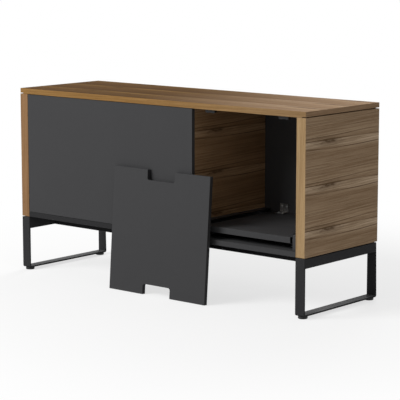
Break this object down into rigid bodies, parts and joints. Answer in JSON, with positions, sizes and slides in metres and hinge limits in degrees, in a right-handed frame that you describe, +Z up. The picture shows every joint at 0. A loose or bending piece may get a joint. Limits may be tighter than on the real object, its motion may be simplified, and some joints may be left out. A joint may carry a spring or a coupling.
{
  "type": "office credenza",
  "caption": "Walnut office credenza on black loop legs with sliding doors, a pull-out bay tray and a lift-out notched back panel leaning behind it.",
  "frame": {"origin": "on the floor, under the middle of the whole object's box, the leaning panel and the handle included", "axes": "+X along the length, to the right seen from the front; +Y from the door side to the cable side; +Z up"},
  "size_m": [1.43, 0.5292, 0.74],
  "materials": {
    "walnut": "matt walnut melamine with a light edge band",
    "anthracite": "matt anthracite melamine",
    "black_steel": "fine-textured black powder coat",
    "zinc_steel": "bright zinc plate",
    "black_plastic": "matt moulded",
    "dark_aluminium": "dark anodised extrusion"
  },
  "bodies": {
    "carcass": {"top_panel": "walnut", "side_panel_left": "walnut", "side_panel_right": "walnut", "bottom_panel": "anthracite", "bay_partition": "walnut", "back_panel_fixed": "anthracite", "panel_stop_left": "black_plastic", "panel_stop_right": "black_plastic", "cupboard_shelf": "walnut", "shelf_peg_left_front": "zinc_steel", "shelf_peg_left_rear": "zinc_steel", "shelf_peg_right_front": "zinc_steel", "shelf_peg_right_rear": "zinc_steel", "leg_loop_left": "black_steel", "leg_loop_right": "black_steel", "leg_rail_left": "black_steel", "leg_rail_right": "black_steel", "carrier_plate_left": "black_steel", "carrier_plate_right": "black_steel", "underframe_beam_front": "black_steel", "underframe_beam_rear": "black_steel", "slide_batten_left": "anthracite", "slide_batten_right": "anthracite", "slide_outer_left": "zinc_steel", "slide_outer_right": "zinc_steel", "door_track_bottom": "dark_aluminium", "door_track_top": "dark_aluminium"},
    "tray": {"pullout_tray": "anthracite", "tray_front": "anthracite", "tray_bracket_left": "zinc_steel", "tray_bracket_right": "zinc_steel", "tray_handle": "black_steel", "slide_inner_left": "zinc_steel", "slide_inner_right": "zinc_steel"},
    "slide_middles": {"slide_middle_left": "zinc_steel", "slide_middle_right": "zinc_steel"},
    "outer_cages": {"ball_cage_outer_left": "zinc_steel", "ball_cage_outer_right": "zinc_steel"},
    "inner_cages": {"ball_cage_inner_left": "zinc_steel", "ball_cage_inner_right": "zinc_steel"},
    "door_left": {"door_left": "anthracite", "finger_cup_left": "black_plastic", "door_shoe_left_a": "black_plastic", "door_shoe_left_b": "black_plastic", "door_guide_left_a": "black_plastic", "door_guide_left_b": "black_plastic"},
    "door_right": {"door_right": "anthracite", "finger_cup_right": "black_plastic", "door_shoe_right_a": "black_plastic", "door_shoe_right_b": "black_plastic", "door_guide_right_a": "black_plastic", "door_guide_right_b": "black_plastic"},
    "lift_out_panel": {"back_panel_lift_out": "anthracite", "panel_strike_left": "zinc_steel", "panel_strike_right": "zinc_steel"},
    "foot_left_front": {"levelling_foot_left_front": "black_plastic"},
    "foot_left_rear": {"levelling_foot_left_rear": "black_plastic"},
    "foot_right_front": {"levelling_foot_right_front": "black_plastic"},
    "foot_right_rear": {"levelling_foot_right_rear": "black_plastic"}
  },
  "joints": [
    {"name": "tray_slide", "type": "slide", "parent": "carcass", "child": "tray", "axis": [0, -1, 0], "range_m": [0, 0.4]},
    {"name": "slide_middles_follow", "type": "slide", "parent": "carcass", "child": "slide_middles", "axis": [0, -1, 0], "range_m": [0, 0.2]},
    {"name": "outer_cages_follow", "type": "slide", "parent": "carcass", "child": "outer_cages", "axis": [0, -1, 0], "range_m": [0, 0.1]},
    {"name": "inner_cages_follow", "type": "slide", "parent": "carcass", "child": "inner_cages", "axis": [0, -1, 0], "range_m": [0, 0.3]},
    {"name": "door_left_slide", "type": "slide", "parent": "carcass", "child": "door_left", "axis": [1, 0, 0], "range_m": [0, 0.41]},
    {"name": "door_right_slide", "type": "slide", "parent": "carcass", "child": "door_right", "axis": [-1, 0, 0], "range_m": [0, 0.41]},
    {"name": "lift_out_panel_away", "type": "slide", "parent": "carcass", "child": "lift_out_panel", "axis": [0, 1, 0], "range_m": [0, 0.45]},
    {"name": "foot_left_front_turn", "type": "hinge", "parent": "carcass", "child": "foot_left_front", "pos_m": [-0.695, -0.21838, 0.005], "axis": [0, 0, 1], "continuous": true},
    {"name": "foot_left_rear_turn", "type": "hinge", "parent": "carcass", "child": "foot_left_rear", "pos_m": [-0.695, 0.19162, 0.005], "axis": [0, 0, 1], "continuous": true},
    {"name": "foot_right_front_turn", "type": "hinge", "parent": "carcass", "child": "foot_right_front", "pos_m": [0.695, -0.21838, 0.005], "axis": [0, 0, 1], "continuous": true},
    {"name": "foot_right_rear_turn", "type": "hinge", "parent": "carcass", "child": "foot_right_rear", "pos_m": [0.695, 0.19162, 0.005], "axis": [0, 0, 1], "continuous": true}
  ],
  "couplings": [
    {"joint": "slide_middles_follow", "follows": "tray_slide", "ratio": 0.5},
    {"joint": "outer_cages_follow", "follows": "tray_slide", "ratio": 0.25},
    {"joint": "inner_cages_follow", "follows": "tray_slide", "ratio": 0.75}
  ]
}
